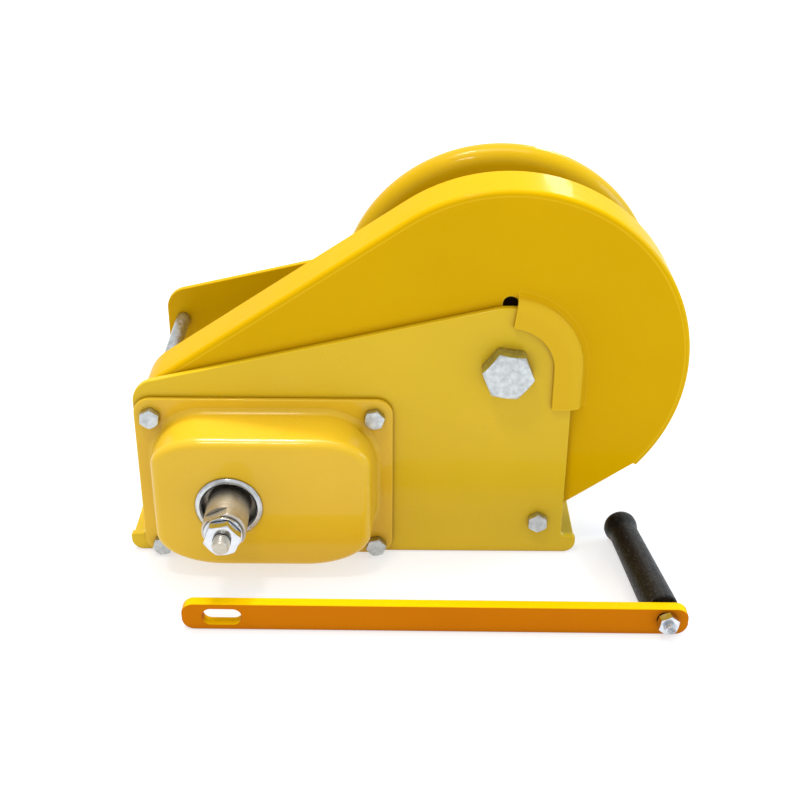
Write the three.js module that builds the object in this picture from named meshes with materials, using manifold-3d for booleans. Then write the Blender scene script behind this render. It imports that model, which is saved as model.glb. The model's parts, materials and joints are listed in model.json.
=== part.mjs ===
// Hand brake winch with its loose crank: a welded plate frame, a rope drum on a through bolt, two pairs of
// spur gears under a pressed hood, and a screw-operated friction brake with a ratchet under a domed cover.
//
// Millimetres, +Z up, +Y from the crank side to the far side. Pieces are drawn with X from the cheeks' left
// edge, Y from the near cheek's outer face and Z from the underside of the base. The outermost group then
// moves the origin to the centre of the base's underside. Outlines are lists of [x, z] points, and turned
// profiles are lists of [radius, y] points, going round anticlockwise.

import * as THREE from 'three';
import { ConvexGeometry } from 'three/addons/geometries/ConvexGeometry.js';
import { mergeVertices } from 'three/addons/utils/BufferGeometryUtils.js';
import Module from 'manifold-3d';

const wasm = await Module();
wasm.setup();

const GAP = 0.3;             // left between pieces that touch
const CHORD_ERROR = 0.3;     // how far a facet may stray from a rounded outline

// Frame
const WIDTH = 124.5;         // over both cheeks
const PLATE = 4;
const CHEEK_LENGTH = 234;
const CHEEK_LEFT_HEIGHT = 105.25;
const CHEEK_TOP_SLOPE = 13.27;
const CHEEK_LEFT_RADIUS = 13;
const CHEEK_RIGHT_RADIUS = 35;
const FOOT_OVERHANG = 8.3;   // feet beyond the cheeks' upright edges
const FOOT_HEIGHT = 10.5;
const FOOT_RADIUS = 6.5;
const FOOT_TOP_RADIUS = 1.5;
const FOOT_FILLET = 2.5;
const BASE_OVERHANG = 9;
const BASE_CORNER_RADIUS = 8;
const BASE_HOLES_X = [22, 212];
const BASE_HOLES_Y = [30, WIDTH - 30];
const BASE_HOLE_RADIUS = 5.5;

// Axes, as [x, z]
const DRUM_AXIS = [199, 116.2];
const CRANK_AXIS = [52.4, 48.6];
const PAWL_AXIS = [91.4, 63.3];

// Gears: each pair has a small pinion with its teeth shifted out and a large gear with its teeth shifted in
const PRESSURE_ANGLE = THREE.MathUtils.degToRad(20);
const TOOTH_SHIFT = 0.3;
const BACKLASH = 0.3;
const PINION_TEETH = 12;
const DRUM_GEAR = { teeth: 56, module: 3, near: 23, far: 35.8 };
const COUNTER_GEAR = { teeth: 37, module: 2.5, near: 10, far: 18 };
const DRUM_CENTRES = DRUM_GEAR.module * (DRUM_GEAR.teeth + PINION_TEETH) / 2;
const CRANK_CENTRES = COUNTER_GEAR.module * (COUNTER_GEAR.teeth + PINION_TEETH) / 2;
const COUNTER_AXIS = meeting(CRANK_AXIS, CRANK_CENTRES, DRUM_AXIS, DRUM_CENTRES);

// Gear hood
const HOOD_SHEET = 2;
const HOOD_NEAR = PLATE + GAP;
const HOOD_FAR = 35;
const HOOD_RADIUS = 97;
const HOOD_SLOPE = 33.98;
const HOOD_LEFT = 2.7;
const HOOD_LEFT_RADIUS = 25;
const HOOD_BOTTOM = 14;
const HOOD_RIM_END = 54.5;
const HOOD_CUT = [[232, 28.7], [268.6, HOOD_RIM_END]];
const HOOD_EDGE_RADIUS = 3;
const HOOK_OUTER = 40.3;
const HOOK_INNER = 24.5;
const HOOK_END_ANGLE = 84;
const HOOK_BOTTOM = 93;
const HOOK_NEAR = -2.6;
const RELIEF_HOLE = [199.4, 152, 4.2];

// Brake cover. The dome's outline changes from its foot to its face; upper and lower are the half axes of the
// quarter ellipses at its corners.
const COVER_FLANGE = { left: 0.5, right: 139, bottom: 0.7, top: 98.5, radius: 9, near: -3 };
const DOME = { near: -30, edge: 3.5, sheet: 2.2 };
const DOME_FOOT = { left: 9, right: 130, bottom: 7, top: 90.3, upper: [29, 29], lower: [29, 29] };
const DOME_FACE = { left: 12, right: 127.6, bottom: 9.4, top: 87.9, upper: [27, 16], lower: [36, 20] };
const COVER_BOLTS = { lower_left: [10.3, 6.4], lower_right: [130, 6.6], upper_right: [129, 88.3] };
const TIE_ROD_AXIS = [9.4, 88];
const HOOD_BOLT_AXIS = [220, 21.5];
const COVER_HOLE_RADIUS = 15.2;
const COVER_RING = { inner: 14.3, outer: 17.9, near: DOME.near - 2, far: DOME.near - GAP, edge: 0.7 };

// Drum
const BARREL_RADIUS = 38;
const BARREL_WALL = 3;
const NEAR_FLANGE = { radius: 90, near: 36.1, far: 39 };
const FAR_FLANGE = { radius: 92, near: 84, far: 97, sheet: 3, bend: 9.5 };
const DRUM_BORE_RADIUS = 14.3;
const FLANGE_SIDES = 40;
const ROPE_HOLE = { centre: [0, 45], radius: 6 };
const ROPE_CLAMP = { z: 66, near: FAR_FLANGE.near + FAR_FLANGE.sheet + GAP, thickness: 3.7 };

// Shafts and their bearings
const SHAFT_RADIUS = 7.5;
const BUSH_BORE_RADIUS = 7.85;
const BUSH_RADIUS = 10.4;
const BUSH_COLLAR_RADIUS = 13;
const BUSH_HOLE_RADIUS = BUSH_RADIUS + GAP + 0.1;
const SHAFT_BORE_RADIUS = SHAFT_RADIUS + GAP;
const SHAFT_FAR_END = WIDTH + 5;
const CIRCLIP = { near: WIDTH + 1.8, far: WIDTH + 3.2, groove: 6.8, inner: 7.1, outer: 10 };
const STUD_RADIUS = 4.6;

// Brake, along the crank shaft from the near cheek outwards
const BRAKE_RADIUS = 26;
const PRESSURE_FLANGE = { near: -8.8, far: -4.8, boss: 10, bossNear: -20.2 };
const INNER_DISC = { near: -11.6, far: -9.1 };
const RATCHET = { near: -17.4, far: -11.9, teeth: 12, tip: 31, root: 26.5 };
const OUTER_DISC = { near: -20.2, far: -17.7 };
const DRIVE_HUB = { near: -54.2, far: -20.5, flangeNear: -25, radius: 11.5, bore: 7.3 };
const HUB_FLATS = { across: 19, far: -48.2, angle: 115 };
const HUB_WASHER = { near: -56.4, far: -54.5, radius: 10 };
const HUB_NUT = { near: -62.4, far: -56.7, flats: 17 };
const STUD_NEAR = -68.8;
const PAWL_BOSS_RADIUS = 6;
const PAWL_BORE_RADIUS = 4.3;
const PAWL_CONTACT_ANGLE = -18;

// Bolts
const M6 = { radius: 3, flats: 10, head: 4.2 };
const M6_HOLE_RADIUS = M6.radius + GAP;
const M16 = { radius: 8, flats: 24, head: 10 };
const AXLE_HEAD_TURN = -8;
const AXLE_HOLE_RADIUS = M16.radius + 0.5;
const AXLE_LENGTH = WIDTH + 20.5;
const SLEEVE_RADIUS = 11;
const DRUM_BUSH_BORE_RADIUS = 11.4;

// Loose crank
const ARM = { length: 262, height: 16, thickness: 6.3, corner: 6.5 };
const ARM_CENTRE = [161.4, -69.35];
const ARM_TURN = -0.4;
const ARM_SLOT = { x: -110.2, z: 8, length: 20.6, height: 9.4 };
const GRIP_X = 118.8;
const GRIP_Z = 9.6;
const GRIP_LEAN = 8;
const GRIP_LENGTH = 81;
const GRIP_NEAR = 1.8;       // from the arm's back face, which the leaning grip must clear
const GRIP_NUT_FAR = -ARM.thickness / 2 - 1.1;

// ---------------------------------------------------------------- outlines

function polar(centre, radius, degrees) {
  const angle = THREE.MathUtils.degToRad(degrees);
  return [centre[0] + radius * Math.cos(angle), centre[1] + radius * Math.sin(angle)];
}

// The upper left of the two points at given distances from two centres.
function meeting(a, fromA, b, fromB) {
  const apart = Math.hypot(b[0] - a[0], b[1] - a[1]);
  const along = (fromA ** 2 - fromB ** 2 + apart ** 2) / (2 * apart);
  const aside = Math.sqrt(fromA ** 2 - along ** 2);
  const [ux, uz] = [(b[0] - a[0]) / apart, (b[1] - a[1]) / apart];
  return [a[0] + along * ux - aside * uz, a[1] + along * uz + aside * ux];
}

function arc(centre, radius, from, to) {
  const step = 2 * Math.acos(1 - CHORD_ERROR / radius);
  const steps = Math.max(2, Math.ceil(Math.abs(THREE.MathUtils.degToRad(to - from)) / step));
  return Array.from({ length: steps + 1 }, (_, i) => polar(centre, radius, from + (to - from) * i / steps));
}

function circle(centre, radius, sides = 16) {
  return Array.from({ length: sides }, (_, i) => polar(centre, radius, 360 * i / sides));
}

// A polygon whose corners are [x, z] or [x, z, radius], with the round ones filled in as arcs.
function rounded(corners) {
  return corners.flatMap(([x, z, radius = 0], i) => {
    if (!radius) return [[x, z]];
    const corner = new THREE.Vector2(x, z);
    const before = new THREE.Vector2(...corners.at(i - 1)).sub(corner).normalize();
    const after = new THREE.Vector2(...corners[(i + 1) % corners.length]).sub(corner).normalize();
    const half = Math.acos(before.dot(after)) / 2;
    const middle = before.clone().add(after).normalize().multiplyScalar(radius / Math.sin(half)).add(corner);
    const start = corner.clone().addScaledVector(before, radius / Math.tan(half)).sub(middle);
    const end = corner.clone().addScaledVector(after, radius / Math.tan(half)).sub(middle);
    const turn = Math.atan2(start.cross(end), start.dot(end));
    const from = THREE.MathUtils.radToDeg(start.angle());
    return arc([middle.x, middle.y], radius, from, from + THREE.MathUtils.radToDeg(turn));
  });
}

function box(left, right, bottom, top, radius = 0) {
  const corners = [[left, bottom], [right, bottom], [right, top], [left, top]];
  return rounded(corners.map(([x, z]) => [x, z, radius]));
}

function hexagon(flats, turn = 0) {
  return Array.from({ length: 6 }, (_, i) => polar([0, 0], flats / Math.sqrt(3), turn + 60 * i));
}

// ---------------------------------------------------------------- solids

function vectors(points) {
  return points.map(([x, y]) => new THREE.Vector2(x, y));
}

// An outline in the XZ plane, thickened from y = near to y = far.
function plate(points, near, far, holes = [], edge = 0) {
  const shape = new THREE.Shape(vectors(points));
  shape.holes = holes.map((hole) => new THREE.Path(vectors(hole)));
  const geometry = new THREE.ExtrudeGeometry(shape, {
    depth: far - near - 2 * edge,
    bevelEnabled: edge > 0,
    bevelThickness: edge,
    bevelSize: edge,
    bevelOffset: -edge,
    bevelSegments: 2,
  });
  return geometry.rotateX(Math.PI / 2).translate(0, far - edge, 0);
}

// A profile of [radius, y] points turned about the Y axis.
function turned(profile, sides = 16) {
  const closed = profile[0][0] > 0 || profile.at(-1)[0] > 0 ? [...profile, profile[0]] : profile;
  return new THREE.LatheGeometry(vectors(closed), sides);
}

function tube(inner, outer, near, far, sides = 16) {
  return turned([[inner, near], [outer, near], [outer, far], [inner, far]], sides);
}

function rod(radius, near, far, sides = 16) {
  return turned([[0, near], [radius, near], [radius, far], [0, far]], sides);
}

function toSolid(geometry) {
  const bare = geometry.clone();
  bare.deleteAttribute('normal');
  bare.deleteAttribute('uv');
  const merged = mergeVertices(bare, 1e-4);
  return new wasm.Manifold(new wasm.Mesh({
    numProp: 3,
    vertProperties: merged.attributes.position.array,
    triVerts: Uint32Array.from(merged.index.array),
  }));
}

function toGeometry(solid) {
  const mesh = solid.getMesh();
  const geometry = new THREE.BufferGeometry();
  geometry.setAttribute('position', new THREE.BufferAttribute(mesh.vertProperties, 3));
  geometry.setIndex(new THREE.BufferAttribute(mesh.triVerts, 1));
  geometry.computeVertexNormals();
  return geometry;
}

function join(...geometries) {
  return toGeometry(geometries.map(toSolid).reduce((whole, next) => whole.add(next)));
}

function cut(geometry, ...tools) {
  return toGeometry(tools.map(toSolid).reduce((rest, tool) => rest.subtract(tool), toSolid(geometry)));
}

function common(a, b) {
  return toGeometry(toSolid(a).intersect(toSolid(b)));
}

// A hexagon-headed bolt along +Y: its head is in front of y = 0 and its shank behind.
function hexBolt(size, length, turn = 0) {
  return join(plate(hexagon(size.flats, turn), -size.head, 0), rod(size.radius, -size.head / 2, length, 12));
}

function hexNut(flats, bore, near, far, turn = 0) {
  return plate(hexagon(flats, turn), near, far, [circle([0, 0], bore, 12)]);
}

// An open retaining ring in its groove.
function circlip() {
  const points = [...arc([0, 0], CIRCLIP.outer, -70, 250), ...arc([0, 0], CIRCLIP.inner, 250, -70)];
  return plate(points, CIRCLIP.near, CIRCLIP.far);
}

// ---------------------------------------------------------------- gears

function involute(angle) {
  return Math.tan(angle) - angle;
}

// A spur gear's outline. The first tooth is centred on `phase` (degrees). Each flank has `flankPoints` points
// from foot to tip, and a straight root below them where the base circle lies outside the root circle.
function gearOutline(teeth, module, shift, phase, flankPoints) {
  const pitch = teeth * module / 2;
  const base = pitch * Math.cos(PRESSURE_ANGLE);
  const tip = pitch + module * (1 + shift);
  const root = pitch - module * (1.25 - shift);
  const foot = Math.max(base, root);
  const thickness = module * (Math.PI / 2 + 2 * shift * Math.tan(PRESSURE_ANGLE)) - BACKLASH;
  const halfAngle = (radius) => THREE.MathUtils.radToDeg(
    thickness / (2 * pitch) + involute(PRESSURE_ANGLE) - involute(Math.acos(base / radius)));
  const flank = Array.from({ length: flankPoints }, (_, i) => foot + (tip - foot) * i / (flankPoints - 1))
    .map((radius) => [radius, halfAngle(radius)]);
  if (root < base) flank.unshift([root, halfAngle(foot)]);
  return Array.from({ length: teeth }, (_, i) => phase + 360 * i / teeth).flatMap((middle) => [
    ...flank.map(([radius, half]) => polar([0, 0], radius, middle - half)),
    ...flank.toReversed().map(([radius, half]) => polar([0, 0], radius, middle + half)),
  ]);
}

// Where a follower's tooth has to point so that it meshes with a gear whose tooth points along `phase`.
function meshingPhase(gearAxis, teeth, phase, followerAxis, followerTeeth) {
  const across = new THREE.Vector2(followerAxis[0] - gearAxis[0], followerAxis[1] - gearAxis[1]);
  const bearing = THREE.MathUtils.radToDeg(across.angle());
  const onGear = (bearing - phase) * teeth / 360;
  return bearing + 180 - (0.5 - onGear) * 360 / followerTeeth;
}

const COUNTER_PHASE = meshingPhase(DRUM_AXIS, DRUM_GEAR.teeth, 0, COUNTER_AXIS, PINION_TEETH);
const CRANK_PHASE = meshingPhase(COUNTER_AXIS, COUNTER_GEAR.teeth, COUNTER_PHASE, CRANK_AXIS, PINION_TEETH);

// ---------------------------------------------------------------- frame

// A cheek seen from the crank side, with a foot at each end.
function cheekOutline() {
  const left = -FOOT_OVERHANG;
  const right = CHEEK_LENGTH + FOOT_OVERHANG;
  const slope = Math.tan(THREE.MathUtils.degToRad(CHEEK_TOP_SLOPE));
  return rounded([
    [left, 0, FOOT_RADIUS], [right, 0, FOOT_RADIUS],
    [right, FOOT_HEIGHT, FOOT_TOP_RADIUS], [CHEEK_LENGTH, FOOT_HEIGHT, FOOT_FILLET],
    [CHEEK_LENGTH, CHEEK_LEFT_HEIGHT + CHEEK_LENGTH * slope, CHEEK_RIGHT_RADIUS],
    [0, CHEEK_LEFT_HEIGHT, CHEEK_LEFT_RADIUS],
    [0, FOOT_HEIGHT, FOOT_FILLET], [left, FOOT_HEIGHT, FOOT_TOP_RADIUS],
  ]);
}

function cheekGeometry(near, moreHoles) {
  return plate(cheekOutline(), near, near + PLATE, [
    circle(CRANK_AXIS, BUSH_HOLE_RADIUS),
    circle(COUNTER_AXIS, BUSH_HOLE_RADIUS),
    circle(DRUM_AXIS, AXLE_HOLE_RADIUS),
    ...moreHoles,
  ]);
}

function boltHole(centre) {
  return circle(centre, M6_HOLE_RADIUS, 12);
}

// The floor between the cheeks, with its four mounting holes.
function basePlateGeometry() {
  const right = CHEEK_LENGTH + BASE_OVERHANG;
  const edge = PLATE + GAP;
  const shape = new THREE.Shape(vectors(box(-BASE_OVERHANG, right, edge, WIDTH - edge, BASE_CORNER_RADIUS)));
  const centres = BASE_HOLES_X.flatMap((x) => BASE_HOLES_Y.map((y) => [x, y]));
  shape.holes = centres.map((centre) => new THREE.Path(vectors(circle(centre, BASE_HOLE_RADIUS))));
  return new THREE.ExtrudeGeometry(shape, { depth: PLATE, bevelEnabled: false });
}

// ---------------------------------------------------------------- gear hood

// The hood's left side, sloping top and round end; `inset` runs inside it by that distance.
function hoodSweep(inset, bottom, endHeight) {
  const radius = HOOD_RADIUS - inset;
  const endAngle = THREE.MathUtils.radToDeg(Math.asin((endHeight - DRUM_AXIS[1]) / radius));
  const tangent = polar(DRUM_AXIS, radius, 90 + HOOD_SLOPE);
  const left = HOOD_LEFT + inset;
  const cornerHeight = tangent[1] - (tangent[0] - left) * Math.tan(THREE.MathUtils.degToRad(HOOD_SLOPE));
  return [
    ...arc(DRUM_AXIS, radius, endAngle, 90 + HOOD_SLOPE),
    ...rounded([tangent, [left, cornerHeight, HOOD_LEFT_RADIUS - inset], [left, bottom]]).slice(1),
  ];
}

function hoodGeometry() {
  const beyond = DRUM_AXIS[0] + HOOD_RADIUS + 20;
  const rimmed = hoodSweep(0, HOOD_BOTTOM, HOOD_RIM_END);
  const faceOutline = [...rimmed, [HOOD_CUT[0][0], HOOD_BOTTOM], ...HOOD_CUT];
  const pressed = plate(
    [...hoodSweep(0, -20, HOOD_RIM_END), [beyond, -20], [beyond, HOOD_RIM_END]],
    HOOD_NEAR, HOOD_FAR + 10, [], HOOD_EDGE_RADIUS);
  const blank = common(pressed, plate(faceOutline, HOOD_NEAR - 1, HOOD_FAR));
  const inside = plate(
    [...hoodSweep(HOOD_SHEET, -20, HOOD_RIM_END), [beyond, -20], [beyond, HOOD_RIM_END]],
    HOOD_NEAR + HOOD_SHEET, HOOD_FAR + 1);
  const hookSide = (radius) => [
    ...arc(DRUM_AXIS, radius, 0, HOOK_END_ANGLE), ...arc(DRUM_AXIS, HOOK_INNER, HOOK_END_ANGLE, 0),
    [DRUM_AXIS[0] + HOOK_INNER, HOOK_BOTTOM], [DRUM_AXIS[0] + radius, HOOK_BOTTOM],
  ];
  const hook = plate(hookSide(HOOK_OUTER), HOOK_NEAR, HOOD_NEAR + HOOD_SHEET / 2);
  const hookSpace = plate([
    ...arc(DRUM_AXIS, HOOK_OUTER - HOOD_SHEET, 0, HOOK_END_ANGLE + 10), [DRUM_AXIS[0] - 10, HOOK_BOTTOM - 5],
    [DRUM_AXIS[0] + HOOK_OUTER - HOOD_SHEET, HOOK_BOTTOM - 5],
  ], -GAP, HOOD_NEAR);
  const holes = [
    [COVER_BOLTS.upper_right, M6_HOLE_RADIUS],
    [TIE_ROD_AXIS, M6_HOLE_RADIUS],
    [HOOD_BOLT_AXIS, M6_HOLE_RADIUS],
    [CRANK_AXIS, BUSH_HOLE_RADIUS],
    [COUNTER_AXIS, BUSH_HOLE_RADIUS],
    [DRUM_AXIS, AXLE_HOLE_RADIUS],
    [RELIEF_HOLE.slice(0, 2), RELIEF_HOLE[2]],
  ].map(([at, radius]) => plate(circle(at, radius, 16), HOOD_NEAR - 1, HOOD_NEAR + HOOD_SHEET + 1));
  return join(cut(blank, inside, ...holes), cut(hook, hookSpace));
}

// ---------------------------------------------------------------- brake cover

// An outline of the dome, moved inwards by `inset`, as points at y.
function domeOutline({ left, right, bottom, top, upper, lower }, inset, y) {
  const corner = (x, z, [halfWidth, halfHeight], start) => Array.from({ length: 8 }, (_, i) => {
    const [cos, sin] = polar([0, 0], 1, start + 90 * i / 7);
    const centreX = x - Math.sign(x - (left + right) / 2) * halfWidth;
    const centreZ = z - Math.sign(z - (bottom + top) / 2) * halfHeight;
    return new THREE.Vector3(centreX + (halfWidth - inset) * cos, y, centreZ + (halfHeight - inset) * sin);
  });
  return [
    ...corner(right, bottom, lower, -90), ...corner(right, top, upper, 0),
    ...corner(left, top, upper, 90), ...corner(left, bottom, lower, 180),
  ];
}

// The dome as a filled body that runs back to y = back, moved inwards by `inset`.
function domeSolid(inset, back) {
  const round = DOME.edge - inset;
  const middle = [inset + round, DOME.near + DOME.edge];
  const edge = [0, 30, 60, 90].map((degrees) => polar(middle, round, 180 + degrees));
  return new ConvexGeometry([
    ...domeOutline(DOME_FOOT, inset, back),
    ...domeOutline(DOME_FOOT, inset, -GAP),
    ...edge.flatMap(([by, y]) => domeOutline(DOME_FACE, by, y)),
  ]);
}

function coverGeometry() {
  const { left, right, bottom, top, radius, near } = COVER_FLANGE;
  const flange = plate(box(left, right, bottom, top, radius), near, -GAP);
  const bolts = [...Object.values(COVER_BOLTS), TIE_ROD_AXIS]
    .map((at) => plate(circle(at, M6_HOLE_RADIUS, 16), near - 1, 1));
  const hubHole = plate(circle(CRANK_AXIS, COVER_HOLE_RADIUS, 32), DOME.near - 1, DOME.near + 10);
  return cut(join(flange, domeSolid(0, -GAP)), domeSolid(DOME.sheet, 5), hubHole, ...bolts);
}

// Ring round the dome's hole.
function coverRingGeometry() {
  const { inner, outer, near, far, edge } = COVER_RING;
  return turned([
    [inner, near + edge], [inner + edge, near], [outer - edge, near], [outer, near + edge],
    [outer, far], [inner, far],
  ], 28);
}

// ---------------------------------------------------------------- drum

function farFlangeGeometry() {
  const { radius, near, far, sheet, bend } = FAR_FLANGE;
  const centre = [radius - bend, near + bend];
  const disc = turned([
    [DRUM_BORE_RADIUS, near], ...arc(centre, bend, -90, 0), [radius, far], [radius - sheet, far],
    ...arc(centre, bend - sheet, 0, -90), [DRUM_BORE_RADIUS, near + sheet],
  ], FLANGE_SIDES);
  return cut(disc, plate(circle(ROPE_HOLE.centre, ROPE_HOLE.radius), near - 1, near + sheet + 1));
}

function ropeClampGeometry() {
  const { z, near, thickness } = ROPE_CLAMP;
  return plate(box(-13, 13, z - 8, z + 8, 3), near, near + thickness, [boltHole([0, z])]);
}

function gearGeometry(gear, bore, phase) {
  const outline = gearOutline(gear.teeth, gear.module, -TOOTH_SHIFT, phase, 2);
  return plate(outline, gear.near, gear.far, [circle([0, 0], bore)]);
}

function pinionGeometry(module, near, far, phase) {
  const outline = gearOutline(PINION_TEETH, module, TOOTH_SHIFT, phase, 3);
  return plate(outline, near, far, [circle([0, 0], SHAFT_BORE_RADIUS)]);
}

// ---------------------------------------------------------------- shafts and brake

function bushGeometry(near, far, collarNear, collarFar) {
  const collar = tube(BUSH_BORE_RADIUS, BUSH_COLLAR_RADIUS, collarNear, collarFar);
  return join(tube(BUSH_BORE_RADIUS, BUSH_RADIUS, near, far), collar);
}

// The far end of a shaft, with the groove for its retaining ring.
function shaftTail() {
  const { near, far, groove } = CIRCLIP;
  return [
    [SHAFT_RADIUS, near - 0.2], [groove, near - 0.2], [groove, far + 0.2], [SHAFT_RADIUS, far + 0.2],
    [SHAFT_RADIUS, SHAFT_FAR_END - 1], [SHAFT_RADIUS - 1, SHAFT_FAR_END], [0, SHAFT_FAR_END],
  ];
}

function counterShaftGeometry() {
  return turned([[0, GAP], [SHAFT_RADIUS, GAP], ...shaftTail()]);
}

function crankShaftGeometry() {
  const hubRoot = OUTER_DISC.near - 0.2;
  const shoulder = DRIVE_HUB.near + 0.5;
  return turned([
    [0, STUD_NEAR], [STUD_RADIUS - 0.8, STUD_NEAR], [STUD_RADIUS, STUD_NEAR + 0.8], [STUD_RADIUS, shoulder],
    [6.9, shoulder], [6.9, hubRoot], [SHAFT_RADIUS, hubRoot], ...shaftTail(),
  ]);
}

function driveHubGeometry() {
  const { near, far, flangeNear, radius, bore } = DRIVE_HUB;
  const body = turned([
    [bore, near], [radius - 0.8, near], [radius, near + 0.8], [radius, flangeNear],
    [BRAKE_RADIUS, flangeNear], [BRAKE_RADIUS, far], [bore, far],
  ], 24);
  const beyond = radius + 2;
  const sides = [[HUB_FLATS.across / 2, beyond], [-beyond, -HUB_FLATS.across / 2]];
  const slabs = sides.map(([left, right]) => plate(box(left, right, -20, 20), near - 1, HUB_FLATS.far)
    .rotateY(-THREE.MathUtils.degToRad(HUB_FLATS.angle)));
  return cut(body, ...slabs);
}

// Each tooth has its steep face towards the anticlockwise side, so that the wheel only turns clockwise.
function ratchetGeometry() {
  const step = 360 / RATCHET.teeth;
  const angles = Array.from({ length: RATCHET.teeth }, (_, i) => PAWL_CONTACT_ANGLE + i * step);
  const radii = [RATCHET.tip, RATCHET.root];
  const points = angles.flatMap((angle) => radii.map((radius) => polar([0, 0], radius, angle)));
  return plate(points, RATCHET.near, RATCHET.far, [circle([0, 0], PRESSURE_FLANGE.boss + GAP + 0.1)]);
}

// The pawl's tip stands just short of a tooth's steep face, and its inner side clears the other teeth.
function pawlGeometry() {
  const tip = [
    polar(CRANK_AXIS, RATCHET.tip + 1.4, PAWL_CONTACT_ANGLE + 8),
    polar(CRANK_AXIS, RATCHET.root + 1.3, PAWL_CONTACT_ANGLE + 0.8),
    polar(CRANK_AXIS, RATCHET.tip + 5, PAWL_CONTACT_ANGLE + 0.7),
  ].map(([x, z]) => [x - PAWL_AXIS[0], z - PAWL_AXIS[1]]);
  const points = [...tip, ...arc([0, 0], PAWL_BOSS_RADIUS, -35, 165)];
  return plate(points, RATCHET.near, RATCHET.far, [circle([0, 0], PAWL_BORE_RADIUS)]);
}

function pawlPinGeometry() {
  return turned([
    [0, -24.5], [4, -24.5], [4, -23.6], [3.3, -23.6], [3.3, -22.4], [4, -22.4],
    [4, RATCHET.far + GAP], [6.5, RATCHET.far + GAP], [6.5, -GAP], [4, -GAP],
    [4, PLATE - 0.1], [0, PLATE - 0.1],
  ], 16);
}

function pawlClipGeometry() {
  return plate([...arc([0, 0], 6.2, -70, 250), ...arc([0, 0], 3.6, 250, -70)], -23.4, -22.6);
}

// Torsion spring round the pawl pin, with one leg along the pawl.
function pawlSpringGeometry() {
  const coil = Array.from({ length: 25 }, (_, i) => {
    const [x, z] = polar([0, 0], 5.2, 180 - 30 * i);
    return new THREE.Vector3(x, -18.4 - 3 * i / 24, z);
  });
  const leg = new THREE.Vector3(coil[0].x + 1, coil[0].y, coil[0].z - 13);
  const path = new THREE.CatmullRomCurve3([leg, ...coil]);
  const section = new THREE.Shape(vectors(circle([0, 0], 0.5, 5)));
  return new THREE.ExtrudeGeometry(section, { steps: 36, extrudePath: path, bevelEnabled: false });
}

// ---------------------------------------------------------------- loose crank

function armGeometry() {
  const { length, height, thickness, corner } = ARM;
  const { x, z, length: slotLength, height: slotHeight } = ARM_SLOT;
  const [halfLength, halfHeight] = [slotLength / 2, slotHeight / 2];
  const slot = box(x - halfLength, x + halfLength, z - halfHeight, z + halfHeight, halfHeight - 0.05);
  const hole = circle([GRIP_X, GRIP_Z], 4, 16);
  return plate(box(-length / 2, length / 2, 0, height, corner), -thickness / 2, thickness / 2, [slot, hole]);
}

// The grip's own frame has y = 0 at the middle of the arm's thickness.
function gripGeometry() {
  const start = ARM.thickness / 2 + GRIP_NEAR;
  const end = start + GRIP_LENGTH;
  return turned([
    [3.4, start], [8.8, start], [9.3, start + 1], [8, end - 12], [8.6, end - 8], [9.3, end - 5],
    [9.1, end - 2], [7.6, end], [5.6, end], [5.6, end - 9], [3.4, end - 9],
  ]);
}

function gripBoltGeometry() {
  const headAt = ARM.thickness / 2 + GRIP_NEAR + GRIP_LENGTH - 8.7;
  return turned([
    [0, -12.6], [2.4, -12.6], [3, -12], [3, headAt],
    [5, headAt], [5, headAt + 4], [4, headAt + 5], [0, headAt + 5],
  ], 16);
}

// ---------------------------------------------------------------- finishes

const YELLOW_PAINT = { color: 0xd9a613, roughness: 0.32, metalness: 0 };
const ORANGE_PAINT = { color: 0xe08f08, roughness: 0.35, metalness: 0 };
const ZINC = { color: 0xc4c6c8, roughness: 0.3, metalness: 1 };
const CHROME = { color: 0xdfe2e6, roughness: 0.1, metalness: 1 };
const STEEL = { color: 0x8c8a84, roughness: 0.4, metalness: 1 };
const BRONZE = { color: 0xa9824a, roughness: 0.4, metalness: 1 };
const FRICTION = { color: 0x4a3a30, roughness: 0.9, metalness: 0 };
const BLACK_PLASTIC = { color: 0x151618, roughness: 0.55, metalness: 0 };

// ---------------------------------------------------------------- assembly

const winch = new THREE.Group();

function groupAt(parent, x, y, z) {
  const group = new THREE.Group();
  group.position.set(x, y, z);
  parent.add(group);
  return group;
}

function add(parent, name, geometry, finish) {
  const mesh = new THREE.Mesh(geometry, new THREE.MeshStandardMaterial(finish));
  mesh.name = name;
  parent.add(mesh);
  return mesh;
}

const layout = groupAt(winch, -CHEEK_LENGTH / 2, -WIDTH / 2, 0);
const onDrumAxis = groupAt(layout, DRUM_AXIS[0], 0, DRUM_AXIS[1]);
const onCounterAxis = groupAt(layout, COUNTER_AXIS[0], 0, COUNTER_AXIS[1]);
const onCrankAxis = groupAt(layout, CRANK_AXIS[0], 0, CRANK_AXIS[1]);
const onPawlAxis = groupAt(layout, PAWL_AXIS[0], 0, PAWL_AXIS[1]);

// Frame, hood and cover
const nearBolts = [...Object.values(COVER_BOLTS), TIE_ROD_AXIS, HOOD_BOLT_AXIS];
const nearHoles = [...nearBolts.map(boltHole), circle(PAWL_AXIS, PAWL_BORE_RADIUS)];
add(layout, 'near_cheek', cheekGeometry(0, nearHoles), YELLOW_PAINT);
add(layout, 'far_cheek', cheekGeometry(WIDTH - PLATE, [boltHole(TIE_ROD_AXIS)]), YELLOW_PAINT);
add(layout, 'base_plate', basePlateGeometry(), YELLOW_PAINT);
add(layout, 'gear_hood', hoodGeometry(), YELLOW_PAINT);
add(layout, 'brake_cover', coverGeometry(), YELLOW_PAINT);
add(onCrankAxis, 'cover_ring', coverRingGeometry(), CHROME);
for (const [corner, [x, z]] of Object.entries(COVER_BOLTS)) {
  const place = groupAt(layout, x, COVER_FLANGE.near - GAP, z);
  const length = corner.startsWith('lower') ? 7.2 : 9.9;
  add(place, `cover_bolt_${corner}`, hexBolt(M6, length, 12), ZINC);
}

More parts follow.
